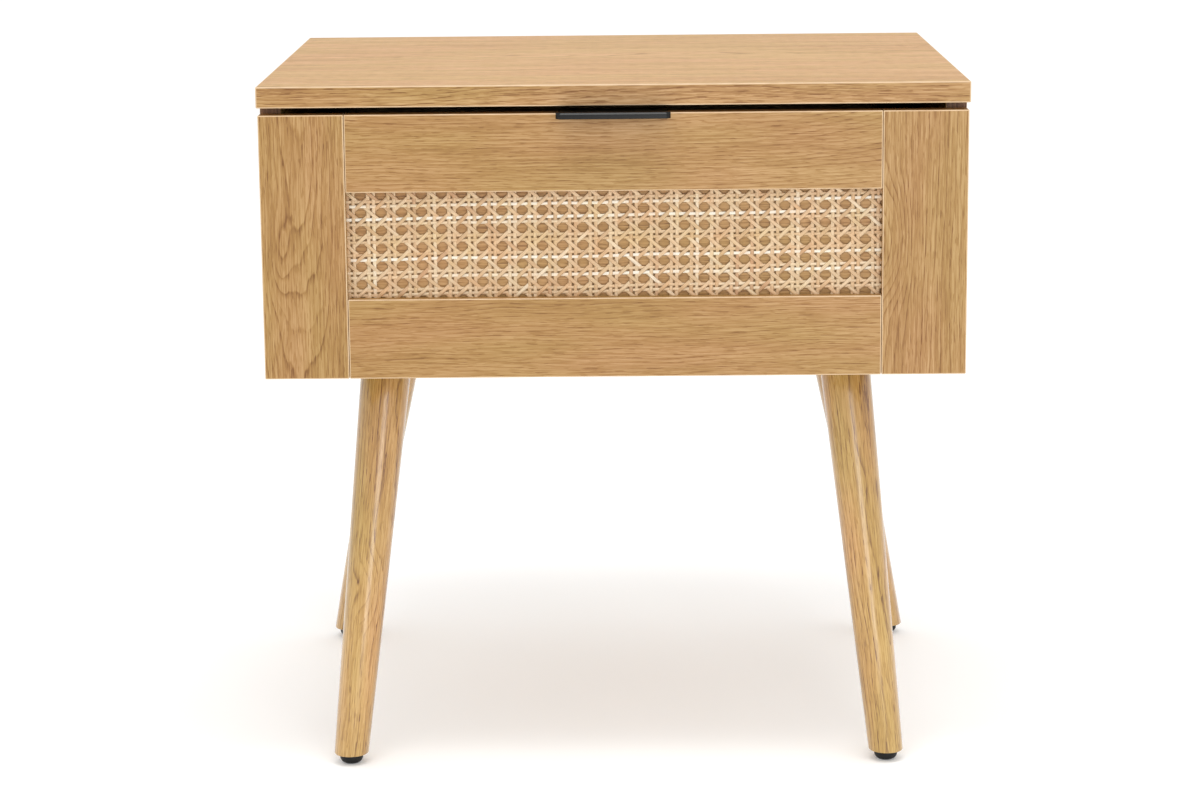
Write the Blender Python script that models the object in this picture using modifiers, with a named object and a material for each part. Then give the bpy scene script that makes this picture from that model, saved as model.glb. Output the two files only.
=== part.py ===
"""Nightstand: a one-drawer cabinet with a cane-panelled drawer front on four splayed turned legs.

+X is the sitter's right, -Y is the front, +Z is up. The origin lies under the middle of the whole
object, at the floor. All sizes are in metres.
"""
import math

import bmesh
import bpy
from mathutils import Matrix, Vector

# Overall sizes
TOP_WIDTH = 0.500
TOP_DEPTH = 0.400
OVERALL_HEIGHT = 0.498

# Cabinet boards
TOP_THICKNESS = 0.015
SIDE_THICKNESS = 0.015
BASE_THICKNESS = 0.015
SIDE_INSET = 0.001              # how far the sides stand in from the top's ends
BACK_THICKNESS = 0.003
BACK_INSET = 0.008              # from the cabinet's rear edge to the back panel
BACK_GROOVE = 0.005             # depth of the groove that holds the back panel
EDGE_BEVEL = 0.0006
LOOSE = 0.0003                  # gap kept between pieces that touch

# Drawer front: a frame of two stiles and two rails around a cane panel
FRONT_HEIGHT = 0.188
FRONT_THICKNESS = 0.015
FRONT_GAP = 0.005               # between the top panel and the drawer front
FRONT_DROP = 0.002              # how far the drawer front hangs below the base panel
FRONT_STANDOFF = 0.002          # between the drawer front and the cabinet's front edges
STILE_WIDTH = 0.060
TOP_RAIL_HEIGHT = 0.055
BOTTOM_RAIL_HEIGHT = 0.057
CANE_RECESS = 0.007             # how far the cane sits behind the frame's face
CANE_THICKNESS = 0.0018
CANE_REBATE = 0.008             # width of the rebate that holds cane and backing

# Drawer box
BOX_THICKNESS = 0.012
BOX_LIFT = 0.012                # from the base panel to the drawer sides
BOX_HEADROOM = 0.032            # from the drawer sides to the top panel
BOX_BACK_CLEARANCE = 0.035      # from the drawer box to the cabinet's back panel
BOTTOM_THICKNESS = 0.003
BOTTOM_RISE = 0.010             # from the drawer sides' lower edge to the drawer bottom
BOTTOM_GROOVE = 0.005

# Telescopic drawer slides
SLIDE_LENGTH = 0.300
SLIDE_THICKNESS = 0.0127
SLIDE_HEIGHT = 0.045
SLIDE_SHEET = 0.0012
SLIDE_SETBACK = 0.003           # from the cabinet's front edge to the slides
SLIDE_BALL_SPACE = 0.0028       # between one member's flange and the next
SLIDE_LIP = 0.002               # turned-in edge of the cabinet member
SLIDE_MIDDLE_SHORTER = 0.010

# Legs, their plates and glides
LEG_TOP_RADIUS = 0.0185
LEG_FOOT_RADIUS = 0.0125
LEG_INSET = 0.081               # from the cabinet's sides, front and back to each leg's top centre
FRONT_LEG_SPLAY = (0.028, 0.064)    # sideways and outward run of a front leg over its height
BACK_LEG_SPLAY = (0.057, 0.040)     # the same for a back leg
LEG_SEGMENTS = 32
PLATE_SIZE = 0.060
PLATE_THICKNESS = 0.002
PLATE_CORNER = 0.006
PLATE_SCREW_SPACING = 0.048
GLIDE_RADIUS = 0.0085
GLIDE_HEIGHT = 0.007
GLIDE_PIN_RADIUS = 0.0015
GLIDE_PIN_LENGTH = 0.012
BOLT_RADIUS = 0.004
BOLT_IN_LEG = 0.035
BOLT_IN_BASE = 0.008
BOLT_CHAMFER = 0.001

# Wood screws
SCREW_RADIUS = 0.0018
SCREW_HEAD_RADIUS = 0.0036
SCREW_HEAD_HEIGHT = 0.002
PLATE_SCREW_LENGTH = 0.013
FRONT_SCREW_LENGTH = 0.020
PULL_SCREW_LENGTH = 0.014
PULL_SCREW_HEAD_RADIUS = 0.0032
SCREW_SEGMENTS = 12

# Edge pull on the drawer front
PULL_LENGTH = 0.080
PULL_PROJECTION = 0.016
PULL_TAB_SHORTER = 0.002        # the tab stops this far before the front's rear face
PULL_PLATE = 0.0015
PULL_LIP_HEIGHT = 0.0045
PULL_LIP_THICKNESS = 0.003
PULL_CHAMFER = 0.002
PULL_SCREW_SPACING = 0.056

# Heights that follow from the sizes above
TOP_UNDER = OVERALL_HEIGHT - TOP_THICKNESS
FRONT_TOP = TOP_UNDER - FRONT_GAP
FRONT_FOOT = FRONT_TOP - FRONT_HEIGHT
BASE_UNDER = FRONT_FOOT + FRONT_DROP
BASE_TOP = BASE_UNDER + BASE_THICKNESS
PLATE_UNDER = BASE_UNDER - LOOSE - PLATE_THICKNESS
LEG_TOP = PLATE_UNDER - LOOSE
LEG_FOOT = GLIDE_HEIGHT + LOOSE
BOX_FOOT = BASE_TOP + BOX_LIFT
BOX_TOP = TOP_UNDER - BOX_HEADROOM
OPENING_FOOT = FRONT_FOOT + BOTTOM_RAIL_HEIGHT
OPENING_TOP = FRONT_TOP - TOP_RAIL_HEIGHT
SLIDE_MID = (BOX_FOOT + BOX_TOP) / 2

# Places along Y, front to back
FRONT_FACE = -(TOP_DEPTH - PULL_PROJECTION) / 2
REAR_FACE = FRONT_FACE + TOP_DEPTH
FRONT_REAR = FRONT_FACE + FRONT_THICKNESS
CABINET_FRONT = FRONT_REAR + FRONT_STANDOFF
BACK_REAR = REAR_FACE - BACK_INSET
BACK_FRONT = BACK_REAR - BACK_THICKNESS
BOX_FRONT = FRONT_REAR + LOOSE
BOX_REAR = BACK_FRONT - BOX_BACK_CLEARANCE
SLIDE_FRONT = CABINET_FRONT + SLIDE_SETBACK

# Half widths along X
SIDE_OUTER = TOP_WIDTH / 2 - SIDE_INSET
SIDE_INNER = SIDE_OUTER - SIDE_THICKNESS
BOX_OUTER = SIDE_INNER - SLIDE_THICKNESS - 2 * LOOSE
BOX_INNER = BOX_OUTER - BOX_THICKNESS
OPENING_HALF = SIDE_OUTER - STILE_WIDTH
LEG_X = SIDE_OUTER - LEG_INSET
LEG_FRONT_Y = FRONT_FACE + LEG_INSET
LEG_BACK_Y = REAR_FACE - LEG_INSET

SIDES = (("left", -1), ("right", 1))

# Finishes: base colour (linear), roughness and metallic value
OAK = ((0.56, 0.34, 0.145), 0.45, 0.0)
LACQUERED_OAK = ((0.60, 0.36, 0.15), 0.2, 0.0)
CANE = ((0.80, 0.60, 0.38), 0.6, 0.0)
PALE_BOARD = ((0.62, 0.45, 0.27), 0.6, 0.0)
HARDBOARD = ((0.30, 0.17, 0.08), 0.7, 0.0)
ZINC = ((0.62, 0.62, 0.60), 0.35, 1.0)
BLACK_METAL = ((0.015, 0.015, 0.015), 0.4, 0.0)
BLACK_PLASTIC = ((0.012, 0.012, 0.012), 0.5, 0.0)


for old in list(bpy.data.objects):
    bpy.data.objects.remove(old, do_unlink=True)


def new_collection(name):
    """Make a collection in the scene."""
    collection = bpy.data.collections.new(name)
    bpy.context.scene.collection.children.link(collection)
    return collection


PARTS = new_collection("nightstand")
CUTTERS = new_collection("cutters")


def add_part(name, data, finish, location=(0, 0, 0), rotation=(0, 0, 0)):
    """Make a sub-part from mesh or curve data, in its place and with its own material."""
    part = bpy.data.objects.new(name, data)
    part.location = location
    part.rotation_euler = rotation
    PARTS.objects.link(part)
    colour, roughness, metallic = finish
    material = bpy.data.materials.new(name + "_finish")
    material.use_nodes = True
    shader = material.node_tree.nodes["Principled BSDF"]
    shader.inputs["Base Color"].default_value = (*colour, 1.0)
    shader.inputs["Roughness"].default_value = roughness
    shader.inputs["Metallic"].default_value = metallic
    part.data.materials.clear()
    part.data.materials.append(material)
    return part


def add_cutter(name, data, location=(0, 0, 0), rotation=(0, 0, 0)):
    """Make a cutter object, which shows as wire and doesn't render."""
    cutter = bpy.data.objects.new(name, data)
    cutter.location = location
    cutter.rotation_euler = rotation
    cutter.hide_render = True
    cutter.display_type = "WIRE"
    CUTTERS.objects.link(cutter)
    return cutter


def cut(part, cutter):
    """Take the cutter's shape out of a part."""
    boolean = part.modifiers.new("cut_" + cutter.name, "BOOLEAN")
    boolean.operation = "DIFFERENCE"
    boolean.solver = "EXACT"
    boolean.object = cutter


def bevel(part, width, segments=1):
    """Ease a part's sharp edges."""
    modifier = part.modifiers.new("eased_edges", "BEVEL")
    modifier.width = width
    modifier.segments = segments
    modifier.limit_method = "ANGLE"


def mesh_from(name, build):
    """Make mesh data from a bmesh that a function fills."""
    shape = bmesh.new()
    build(shape)
    bmesh.ops.recalc_face_normals(shape, faces=shape.faces)
    data = bpy.data.meshes.new(name)
    shape.to_mesh(data)
    shape.free()
    return data


def box_mesh(name, size):
    """Box mesh centred on its origin."""
    def build(shape):
        bmesh.ops.create_cube(shape, size=1.0, matrix=Matrix.Diagonal((*size, 1.0)))
    return mesh_from(name, build)


def centre_and_size(x_span, y_span, z_span):
    """Middle and size of the box between the given limits."""
    spans = (x_span, y_span, z_span)
    centre = [(low + high) / 2 for low, high in spans]
    size = [high - low for low, high in spans]
    return centre, size


def board(name, x_span, y_span, z_span, finish, eased=0.0):
    """Rectangular board between the given limits."""
    centre, size = centre_and_size(x_span, y_span, z_span)
    part = add_part(name, box_mesh(name, size), finish, location=centre)
    if eased:
        bevel(part, eased)
    return part


def box_cutter(name, x_span, y_span, z_span):
    """Rectangular cutter between the given limits."""
    centre, size = centre_and_size(x_span, y_span, z_span)
    return add_cutter(name, box_mesh(name, size), location=centre)


def profile_mesh(name, points):
    """Open profile of (radius, height) points, for a Screw modifier to turn about Z."""
    data = bpy.data.meshes.new(name)
    vertices = [(radius, 0.0, height) for radius, height in points]
    edges = [(index, index + 1) for index in range(len(points) - 1)]
    data.from_pydata(vertices, edges, [])
    return data


def turn(part, segments):
    """Turn a part's profile into a solid of revolution."""
    screw = part.modifiers.new("turned", "SCREW")
    screw.axis = "Z"
    screw.steps = segments
    screw.render_steps = segments
    screw.use_merge_vertices = True
    screw.merge_threshold = 0.00001
    screw.use_smooth_shade = True


def bar(name, outline, y_span, finish):
    """Straight bar along Y whose cross-section is an outline of (x, z) points."""
    low, high = y_span
    data = bpy.data.curves.new(name, "CURVE")
    data.dimensions = "2D"
    data.fill_mode = "BOTH"
    data.extrude = (high - low) / 2
    spline = data.splines.new("POLY")
    spline.points.add(len(outline) - 1)
    for point, (x, z) in zip(spline.points, outline):
        point.co = (x, z, 0.0, 1.0)
    spline.use_cyclic_u = True
    return add_part(name, data, finish, location=(0, (low + high) / 2, 0), rotation=(math.pi / 2, 0, 0))


def joint_empty(name, location):
    """Empty that carries the pieces of one moving body."""
    empty = bpy.data.objects.new(name, None)
    empty.location = location
    PARTS.objects.link(empty)
    return empty


def carry(empty, pieces):
    """Parent pieces to an empty, and leave them where they are."""
    bpy.context.view_layer.update()
    for piece in pieces:
        piece.parent = empty
        piece.matrix_parent_inverse = empty.matrix_world.inverted()


# ---- Cabinet ----------------------------------------------------------------------------------

def build_cabinet():
    """Top, sides and base around a thin back panel in grooves."""
    depth = (CABINET_FRONT, REAR_FACE)
    top = board("top_panel", (-TOP_WIDTH / 2, TOP_WIDTH / 2), (FRONT_FACE, REAR_FACE),
                (TOP_UNDER, OVERALL_HEIGHT), OAK, EDGE_BEVEL)
    base_half = SIDE_INNER - LOOSE
    base = board("base_panel", (-base_half, base_half), depth, (BASE_UNDER, BASE_TOP), OAK)
    sides = []
    for side, sign in SIDES:
        x_span = sorted((sign * SIDE_INNER, sign * SIDE_OUTER))
        sides.append(board("side_panel_" + side, x_span, depth, (BASE_UNDER, TOP_UNDER - LOOSE),
                           OAK, EDGE_BEVEL))

    reach = BACK_GROOVE - LOOSE
    back_half = SIDE_INNER + reach
    back_z = (BASE_TOP - reach, TOP_UNDER + reach)
    board("back_panel", (-back_half, back_half), (BACK_FRONT, BACK_REAR), back_z, HARDBOARD)
    groove_half = back_half + LOOSE
    groove = box_cutter("back_groove", (-groove_half, groove_half),
                        (BACK_FRONT - LOOSE, BACK_REAR + LOOSE),
                        (back_z[0] - LOOSE, back_z[1] + LOOSE))
    for part in (top, base, *sides):
        cut(part, groove)
    return base


# ---- Legs -------------------------------------------------------------------------------------

def leg_mesh(name, run):
    """Tapered round leg whose axis leans by run, with level ends, its origin at its top centre."""
    foot = Vector((run[0], run[1], LEG_FOOT - LEG_TOP))
    length = foot.length
    taper = (LEG_TOP_RADIUS - LEG_FOOT_RADIUS) / length
    spare = LEG_TOP_RADIUS
    aim = foot.to_track_quat("-Z", "Y").to_matrix().to_4x4()

    def build(shape):
        bmesh.ops.create_cone(shape, cap_ends=True, segments=LEG_SEGMENTS,
                              radius1=LEG_FOOT_RADIUS - taper * spare,
                              radius2=LEG_TOP_RADIUS + taper * spare,
                              depth=length + 2 * spare,
                              matrix=aim @ Matrix.Translation((0, 0, -length / 2)))
        for height, outward in ((0.0, 1), (foot.z, -1)):
            parts = shape.verts[:] + shape.edges[:] + shape.faces[:]
            sliced = bmesh.ops.bisect_plane(shape, geom=parts, plane_co=(0, 0, height),
                                            plane_no=(0, 0, outward), clear_outer=True)
            rim = [item for item in sliced["geom_cut"] if isinstance(item, bmesh.types.BMEdge)]
            bmesh.ops.contextual_create(shape, geom=rim)
        for face in shape.faces:
            face.smooth = len(face.verts) == 4

    return mesh_from(name, build)


def plate_shape(shape):
    """Square steel plate with rounded corners, centred on its origin."""
    size = (PLATE_SIZE, PLATE_SIZE, PLATE_THICKNESS)
    bmesh.ops.create_cube(shape, size=1.0, matrix=Matrix.Diagonal((*size, 1.0)))
    upright = [edge for edge in shape.edges
               if abs(edge.verts[0].co.z - edge.verts[1].co.z) > PLATE_THICKNESS / 2]
    bmesh.ops.bevel(shape, geom=upright, offset=PLATE_CORNER, segments=4, affect="EDGES",
                    profile=0.5, material=-1)


def glide_profile():
    """Round plastic glide with an eased lower rim and a pin into the leg."""
    rim = GLIDE_RADIUS / 5
    top = GLIDE_HEIGHT
    pin_top = top + GLIDE_PIN_LENGTH
    return [(0, pin_top), (GLIDE_PIN_RADIUS, pin_top), (GLIDE_PIN_RADIUS, top), (GLIDE_RADIUS, top),
            (GLIDE_RADIUS, rim), (GLIDE_RADIUS - rim / 3, rim / 3), (GLIDE_RADIUS - rim, 0), (0, 0)]


def bolt_profile():
    """Hanger bolt: one end in the leg, the other through the plate, its origin at the leg's top."""
    head = PLATE_THICKNESS + 2 * LOOSE + BOLT_IN_BASE
    inner = BOLT_RADIUS - BOLT_CHAMFER
    return [(0, head), (inner, head), (BOLT_RADIUS, head - BOLT_CHAMFER),
            (BOLT_RADIUS, BOLT_CHAMFER - BOLT_IN_LEG), (inner, -BOLT_IN_LEG), (0, -BOLT_IN_LEG)]


def pan_screw_profile(length):
    """Pan-head wood screw that points down, its origin under its head."""
    crown = SCREW_HEAD_RADIUS * 0.7
    tip = SCREW_RADIUS * 2
    return [(0, SCREW_HEAD_HEIGHT), (crown, SCREW_HEAD_HEIGHT),
            (SCREW_HEAD_RADIUS, SCREW_HEAD_HEIGHT / 2), (SCREW_HEAD_RADIUS, 0), (SCREW_RADIUS, 0),
            (SCREW_RADIUS, tip - length), (0, -length)]


def plate_screw_places():
    """Name and (x, y) offset of each screw in a leg plate."""
    half = PLATE_SCREW_SPACING / 2
    return [(f"{row}_{side}", (sign * half, lean * half))
            for row, lean in (("front", -1), ("back", 1)) for side, sign in SIDES]


def fixing_cutter(name, place):
    """Holes for one leg: the hanger bolt's through leg, plate and base, and the plate's screws'."""
    bolt_foot = LEG_TOP - BOLT_IN_LEG - LOOSE
    bolt_head = BASE_UNDER + BOLT_IN_BASE + LOOSE
    screw_foot = PLATE_UNDER - LOOSE / 2
    screw_tip = PLATE_UNDER - LOOSE + PLATE_SCREW_LENGTH + LOOSE
    holes = [((0, 0), BOLT_RADIUS + LOOSE, bolt_foot, bolt_head)]
    for _, offset in plate_screw_places():
        holes.append((offset, SCREW_RADIUS + LOOSE, screw_foot, screw_tip))

    def build(shape):
        for (x, y), radius, low, high in holes:
            centre = Matrix.Translation((x, y, (low + high) / 2))
            bmesh.ops.create_cone(shape, cap_ends=True, segments=SCREW_SEGMENTS, radius1=radius,
                                  radius2=radius, depth=high - low, matrix=centre)

    return add_cutter(name, mesh_from(name, build), location=(*place, 0))


def build_leg(corner, place, run, base, screw_mesh):
    """One leg with its glide, hanger bolt, mounting plate and four plate screws."""
    x, y = place
    leg = add_part("leg_" + corner, leg_mesh("leg_" + corner, run), LACQUERED_OAK,
                   location=(x, y, LEG_TOP))
    foot = (x + run[0], y + run[1])
    glide = add_part("glide_" + corner, profile_mesh("glide_" + corner, glide_profile()),
                     BLACK_PLASTIC, location=(*foot, 0))
    turn(glide, LEG_SEGMENTS)
    bolt = add_part("hanger_bolt_" + corner, profile_mesh("hanger_bolt_" + corner, bolt_profile()),
                    ZINC, location=(x, y, LEG_TOP))
    turn(bolt, SCREW_SEGMENTS)

    pin_top = GLIDE_HEIGHT + GLIDE_PIN_LENGTH + LOOSE
    pin_low = GLIDE_HEIGHT

    def pin_hole(shape):
        bmesh.ops.create_cone(shape, cap_ends=True, segments=SCREW_SEGMENTS,
                              radius1=GLIDE_PIN_RADIUS + LOOSE, radius2=GLIDE_PIN_RADIUS + LOOSE,
                              depth=pin_top - pin_low,
                              matrix=Matrix.Translation((0, 0, (pin_top + pin_low) / 2)))

    cut(leg, add_cutter("pin_hole_" + corner, mesh_from("pin_hole", pin_hole), location=(*foot, 0)))

    holes = fixing_cutter("fixing_holes_" + corner, place)
    plate = add_part("leg_plate_" + corner, mesh_from("leg_plate", plate_shape), ZINC,
                     location=(x, y, PLATE_UNDER + PLATE_THICKNESS / 2))
    for part in (leg, plate, base):
        cut(part, holes)
    for screw_name, (dx, dy) in plate_screw_places():
        screw = add_part(f"plate_screw_{corner}_{screw_name}", screw_mesh.copy(), ZINC,
                         location=(x + dx, y + dy, PLATE_UNDER - LOOSE), rotation=(math.pi, 0, 0))
        turn(screw, SCREW_SEGMENTS)


def build_legs(base):
    """The four legs: the front pair leans mostly forward, the back pair mostly sideways."""
    screw_mesh = profile_mesh("plate_screw", pan_screw_profile(PLATE_SCREW_LENGTH))
    for side, sign in SIDES:
        front_run = (sign * FRONT_LEG_SPLAY[0], -FRONT_LEG_SPLAY[1])
        back_run = (sign * BACK_LEG_SPLAY[0], BACK_LEG_SPLAY[1])
        build_leg("front_" + side, (sign * LEG_X, LEG_FRONT_Y), front_run, base, screw_mesh)
        build_leg("back_" + side, (sign * LEG_X, LEG_BACK_Y), back_run, base, screw_mesh)


# ---- Drawer slides ----------------------------------------------------------------------------

def channel(web, tip, half_height, sheet, lip=0.0):
    """Outline of a C-shaped channel from its web at one depth to its flange tips at another.

    A lip above zero turns each flange's tip back towards the channel's middle.
    """
    inward = 1 if tip > web else -1
    inner_web = web + inward * sheet
    inner_half = half_height - sheet
    if lip:
        tip_inner = tip - inward * sheet
        lip_half = inner_half - lip
        ends = [(tip, half_height), (tip, lip_half), (tip_inner, lip_half), (tip_inner, inner_half)]
    else:
        ends = [(tip, half_height), (tip, inner_half)]
    upper = [(web, half_height), *ends, (inner_web, inner_half)]
    return upper + [(depth, -height) for depth, height in reversed(upper)]


def slide_member(name, outline, sign, y_span):
    """One slide member; its outline's depths run inward from the cabinet side."""
    points = [(sign * (SIDE_INNER - depth), SLIDE_MID + height) for depth, height in outline]
    return bar(name, points, y_span, ZINC)


def build_slides():
    """Cabinet, middle and drawer members of both slides.

    Returns:
        The drawer members, which the drawer carries.
    """
    sheet = SLIDE_SHEET
    half = SLIDE_HEIGHT / 2
    step = sheet + SLIDE_BALL_SPACE
    middle_web = LOOSE + 2 * sheet
    drawer_web = LOOSE + SLIDE_THICKNESS
    cabinet_member = channel(LOOSE, drawer_web - 2 * sheet, half, sheet, SLIDE_LIP)
    middle_member = channel(middle_web, drawer_web - 1.5 * sheet, half - step, sheet)
    drawer_member = channel(drawer_web, middle_web + 1.5 * sheet, half - 2 * step, sheet)
    span = (SLIDE_FRONT, SLIDE_FRONT + SLIDE_LENGTH)
    shorter = SLIDE_MIDDLE_SHORTER / 2
    middle_span = (span[0] + shorter, span[1] - shorter)
    drawer_members = []
    for side, sign in SIDES:
        slide_member("slide_cabinet_member_" + side, cabinet_member, sign, span)
        middle = slide_member("slide_middle_member_" + side, middle_member, sign, middle_span)
        carry(joint_empty("slide_middle_axis_" + side, (sign * SIDE_INNER, span[0], SLIDE_MID)),
              [middle])
        drawer_members.append(slide_member("slide_drawer_member_" + side, drawer_member, sign, span))
    return drawer_members


# ---- Drawer front -----------------------------------------------------------------------------

def build_front_frame():
    """Stiles, rails, cane panel and backing panel.

    Returns:
        The pieces by name.
    """
    depth = (FRONT_FACE, FRONT_REAR)
    rail_half = OPENING_HALF - LOOSE
    pieces = {}
    for side, sign in SIDES:
        x_span = sorted((sign * OPENING_HALF, sign * SIDE_OUTER))
        pieces["stile_" + side] = board("front_stile_" + side, x_span, depth,
                                        (FRONT_FOOT, FRONT_TOP), OAK, EDGE_BEVEL)
    pieces["rail_top"] = board("front_rail_top", (-rail_half, rail_half), depth,
                               (OPENING_TOP, FRONT_TOP), OAK, EDGE_BEVEL)
    pieces["rail_bottom"] = board("front_rail_bottom", (-rail_half, rail_half), depth,
                                  (FRONT_FOOT, OPENING_FOOT), OAK, EDGE_BEVEL)

    panel_half = OPENING_HALF + CANE_REBATE
    panel_x = (-panel_half, panel_half)
    panel_z = (OPENING_FOOT - CANE_REBATE, OPENING_TOP + CANE_REBATE)
    cane_front = FRONT_FACE + CANE_RECESS + LOOSE
    cane_rear = cane_front + CANE_THICKNESS
    rebate = box_cutter("cane_rebate", (panel_x[0] - LOOSE, panel_x[1] + LOOSE),
                        (FRONT_FACE + CANE_RECESS, FRONT_REAR + FRONT_THICKNESS),
                        (panel_z[0] - LOOSE, panel_z[1] + LOOSE))
    for piece in pieces.values():
        cut(piece, rebate)
    pieces["cane"] = board("cane_panel", panel_x, (cane_front, cane_rear), panel_z, CANE)
    pieces["backing"] = board("front_backing_panel", panel_x, (cane_rear + LOOSE, FRONT_REAR),
                              panel_z, PALE_BOARD)
    return pieces


def build_pull(rail):
    """Folded black edge pull on the top rail, with its two countersunk screws.

    Returns:
        The pull and its screws.
    """
    plate_foot = FRONT_TOP + LOOSE
    plate_top = plate_foot + PULL_PLATE
    tab_rear = FRONT_REAR - PULL_TAB_SHORTER
    half = PULL_LENGTH / 2
    centre, size = centre_and_size((-half, half), (FRONT_FACE - PULL_PROJECTION, tab_rear),
                                   (plate_top - PULL_LIP_HEIGHT, plate_top))

    def build(shape):
        bmesh.ops.create_cube(shape, size=1.0, matrix=Matrix.Diagonal((*size, 1.0)))
        nose = -size[1] / 2
        crown = size[2] / 2
        chamfered = []
        for edge in shape.edges:
            middle = (edge.verts[0].co + edge.verts[1].co) / 2
            on_top = math.isclose(middle.z, crown, abs_tol=LOOSE)
            on_nose = math.isclose(middle.y, nose, abs_tol=LOOSE)
            on_end = math.isclose(abs(middle.x), half, abs_tol=LOOSE)
            if (on_top and on_nose) or (on_top and on_end) or (on_nose and on_end):
                chamfered.append(edge)
        bmesh.ops.bevel(shape, geom=chamfered, offset=PULL_CHAMFER, segments=1, affect="EDGES",
                        profile=0.5, material=-1)

    pull = add_part("edge_pull", mesh_from("edge_pull", build), BLACK_METAL, location=centre)
    under = box_cutter("pull_underside", (-PULL_LENGTH, PULL_LENGTH),
                       (FRONT_FACE - PULL_PROJECTION + PULL_LIP_THICKNESS, tab_rear + PULL_LENGTH),
                       (plate_foot - PULL_LENGTH, plate_foot))
    cut(pull, under)

    screw_y = (FRONT_FACE + tab_rear) / 2
    head = PULL_SCREW_HEAD_RADIUS
    shank_top = -PULL_PLATE
    outline = [(0, 0), (head, 0), (SCREW_RADIUS, shank_top), (SCREW_RADIUS, -PULL_SCREW_LENGTH),
               (0, -PULL_SCREW_LENGTH)]
    hole_foot = -PULL_SCREW_LENGTH - LOOSE
    hole = [(0, PULL_PLATE), (head + LOOSE, PULL_PLATE), (head + LOOSE, 0),
            (SCREW_RADIUS + LOOSE, shank_top), (SCREW_RADIUS + LOOSE, hole_foot), (0, hole_foot)]
    pieces = [pull]
    for side, sign in SIDES:
        place = (sign * PULL_SCREW_SPACING / 2, screw_y, plate_top)
        screw = add_part("pull_screw_" + side, profile_mesh("pull_screw", outline), BLACK_METAL,
                         location=place)
        turn(screw, SCREW_SEGMENTS)
        cutter = add_cutter("pull_screw_hole_" + side, profile_mesh("pull_screw_hole", hole),
                            location=place)
        turn(cutter, SCREW_SEGMENTS)
        cut(pull, cutter)
        cut(rail, cutter)
        pieces.append(screw)
    return pieces


# ---- Drawer box -------------------------------------------------------------------------------

def build_drawer_box(stiles):
    """Box front, sides, back and bottom, and the screws that hold the front frame to the box.

    Returns:
        The box's pieces.
    """
    inner = BOX_INNER - LOOSE
    height = (BOX_FOOT, BOX_TOP)
    length = (BOX_FRONT, BOX_REAR)
    front_rear = BOX_FRONT + BOX_THICKNESS
    bottom_foot = BOX_FOOT + BOTTOM_RISE
    bottom_top = bottom_foot + BOTTOM_THICKNESS
    front = board("drawer_box_front", (-inner, inner), (BOX_FRONT, front_rear), height, PALE_BOARD)
    back = board("drawer_back", (-inner, inner), (BOX_REAR - BOX_THICKNESS, BOX_REAR),
                 (bottom_top + LOOSE, BOX_TOP), PALE_BOARD)
    sides = []
    for side, sign in SIDES:
        x_span = sorted((sign * BOX_INNER, sign * BOX_OUTER))
        sides.append(board("drawer_side_" + side, x_span, length, height, PALE_BOARD))

    reach = BOTTOM_GROOVE - LOOSE
    bottom_half = BOX_INNER + reach
    bottom_front = front_rear - reach
    bottom = board("drawer_bottom", (-bottom_half, bottom_half), (bottom_front, BOX_REAR),
                   (bottom_foot, bottom_top), HARDBOARD)
    groove_half = bottom_half + LOOSE
    groove = box_cutter("bottom_groove", (-groove_half, groove_half),
                        (bottom_front - LOOSE, BOX_REAR + BOX_THICKNESS),
                        (bottom_foot - LOOSE, bottom_top + LOOSE))
    for part in (front, *sides):
        cut(part, groove)

    pieces = [front, back, *sides, bottom]
    screw_x = (OPENING_HALF + CANE_REBATE + BOX_INNER) / 2
    tip = -FRONT_SCREW_LENGTH - LOOSE
    radius = SCREW_RADIUS + LOOSE
    hole = [(0, LOOSE), (radius, LOOSE), (radius, tip), (0, tip)]
    for (side, sign), stile in zip(SIDES, stiles):
        place = (sign * screw_x, front_rear + LOOSE, SLIDE_MID)
        turned_back = (-math.pi / 2, 0, 0)
        screw = add_part("front_screw_" + side,
                         profile_mesh("front_screw", pan_screw_profile(FRONT_SCREW_LENGTH)), ZINC,
                         location=place, rotation=turned_back)
        turn(screw, SCREW_SEGMENTS)
        cutter = add_cutter("front_screw_hole_" + side, profile_mesh("front_screw_hole", hole),
                            location=place, rotation=turned_back)
        turn(cutter, SCREW_SEGMENTS)
        cut(front, cutter)
        cut(stile, cutter)
        pieces.append(screw)
    return pieces


def build_nightstand():
    """Build the cabinet, legs, slides and drawer."""
    base = build_cabinet()
    build_legs(base)
    drawer_members = build_slides()
    frame = build_front_frame()
    pull = build_pull(frame["rail_top"])
    box = build_drawer_box((frame["stile_left"], frame["stile_right"]))
    drawer_axis = joint_empty("drawer_axis", (0, FRONT_FACE, SLIDE_MID))
    carry(drawer_axis, [*frame.values(), *pull, *box, *drawer_members])


build_nightstand()
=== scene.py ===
"""Looks of the one-drawer nightstand: oak-look boards, woven cane, lacquered legs and black pull.

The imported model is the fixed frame. Each sub-assembly below is a class that dresses its own pieces
or replaces them with finer ones in the same place. Everything is in metres, with the front at -Y.
"""

import logging
import math
import random
from dataclasses import dataclass, replace
from enum import Enum
from typing import Any, Iterable, Sequence

import bmesh
import bpy
from mathutils import Euler, Matrix, Vector, noise


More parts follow.
